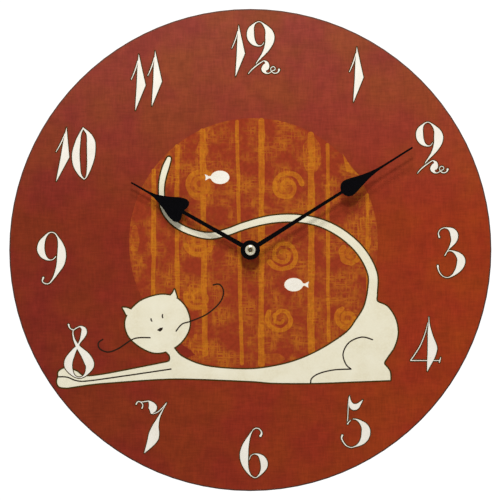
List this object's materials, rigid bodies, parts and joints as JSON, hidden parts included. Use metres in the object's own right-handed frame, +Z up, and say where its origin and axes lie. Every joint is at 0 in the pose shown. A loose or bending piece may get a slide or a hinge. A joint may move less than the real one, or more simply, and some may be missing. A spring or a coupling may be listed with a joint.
{
  "type": "wall clock",
  "caption": "Round printed wall clock with a cat on its dial: flat board, black spade and teardrop hands, and a battery quartz movement with its gear train behind.",
  "frame": {"origin": "on the arbor's axis, in the plane of the wall, which the back of the movement rests against", "axes": "+Y into the wall, so the dial faces -Y; +Z up, towards 12; +X towards 3 as seen from the front"},
  "size_m": [0.3048, 0.0348, 0.3048],
  "materials": {
    "board_fibre": "fine fibre board, painted edge",
    "printed_red": "satin print on a canvas weave",
    "case_black": "fine moulded texture",
    "brass": "turned",
    "rubber": "matt",
    "hand_black": "gloss black lacquer",
    "nut_brass": "polished",
    "gear_white": "moulded",
    "knob_plastic": "moulded",
    "steel": "drawn",
    "magnet": "sintered",
    "core_iron": "rolled",
    "bobbin_white": "moulded",
    "copper": "enamelled wire",
    "circuit_green": "solder mask",
    "epoxy_black": "cast",
    "nickel": "nickel plate",
    "cell_can": "nickel plate",
    "label": "shrink film"
  },
  "bodies": {
    "movement": {"case_front": "case_black", "rear_cover": "case_black", "threaded_bushing": "brass", "rubber_gasket": "rubber", "brass_washer": "brass", "hex_nut": "brass", "dial_board": "board_fibre", "face_print": "printed_red", "stator_plate": "core_iron", "coil_core": "core_iron", "coil_bobbin": "bobbin_white", "coil_winding": "copper", "circuit_board": "circuit_green", "chip": "epoxy_black", "quartz_crystal": "nickel", "contact_positive": "nickel", "contact_negative": "nickel"},
    "minute_assembly": {"minute_pipe": "brass", "minute_hand": "hand_black", "hand_nut": "nut_brass"},
    "hour_assembly": {"hour_wheel": "gear_white", "hour_hand": "hand_black"},
    "setting_train": {"motion_wheel": "gear_white", "setting_knob": "knob_plastic"},
    "centre_train": {"center_wheel": "gear_white", "clutch_washer": "steel"},
    "seconds_train": {"seconds_wheel": "gear_white", "seconds_arbor": "steel"},
    "third_train": {"third_wheel": "gear_white"},
    "intermediate_train": {"intermediate_wheel": "gear_white"},
    "rotor": {"rotor_pinion": "gear_white", "rotor_magnet": "magnet"},
    "battery": {"battery_cell": "cell_can", "battery_jacket": "label"}
  },
  "joints": [
    {"name": "minute_turn", "type": "hinge", "parent": "movement", "child": "minute_assembly", "pos_m": [0, -0.02, 0], "axis": [0, 1, 0], "continuous": true},
    {"name": "hour_turn", "type": "hinge", "parent": "movement", "child": "hour_assembly", "pos_m": [0, -0.02, 0], "axis": [0, 1, 0], "continuous": true},
    {"name": "setting_turn", "type": "hinge", "parent": "movement", "child": "setting_train", "pos_m": [0.01076, -0.006, -0.00094], "axis": [0, 1, 0], "continuous": true},
    {"name": "seconds_turn", "type": "hinge", "parent": "movement", "child": "seconds_train", "pos_m": [0, -0.006, 0], "axis": [0, 1, 0], "continuous": true},
    {"name": "third_turn", "type": "hinge", "parent": "movement", "child": "third_train", "pos_m": [-0.00958, -0.008, 0.00349], "axis": [0, 1, 0], "continuous": true},
    {"name": "centre_turn", "type": "hinge", "parent": "movement", "child": "centre_train", "pos_m": [0, -0.0086, 0], "axis": [0, 1, 0], "continuous": true},
    {"name": "intermediate_turn", "type": "hinge", "parent": "movement", "child": "intermediate_train", "pos_m": [0.00648, -0.008, 0.00772], "axis": [0, 1, 0], "continuous": true},
    {"name": "rotor_turn", "type": "hinge", "parent": "movement", "child": "rotor", "pos_m": [0.01008, -0.008, 0.01396], "axis": [0, 1, 0], "continuous": true},
    {"name": "battery_slide", "type": "slide", "parent": "movement", "child": "battery", "axis": [0, 1, 0], "range_m": [0, 0.02]}
  ],
  "couplings": [
    {"joint": "hour_turn", "follows": "minute_turn", "ratio": 0.083333},
    {"joint": "setting_turn", "follows": "minute_turn", "ratio": -0.33333},
    {"joint": "third_turn", "follows": "seconds_turn", "ratio": -0.13333},
    {"joint": "centre_turn", "follows": "seconds_turn", "ratio": 0.016667},
    {"joint": "intermediate_turn", "follows": "seconds_turn", "ratio": -6},
    {"joint": "rotor_turn", "follows": "seconds_turn", "ratio": 30}
  ]
}
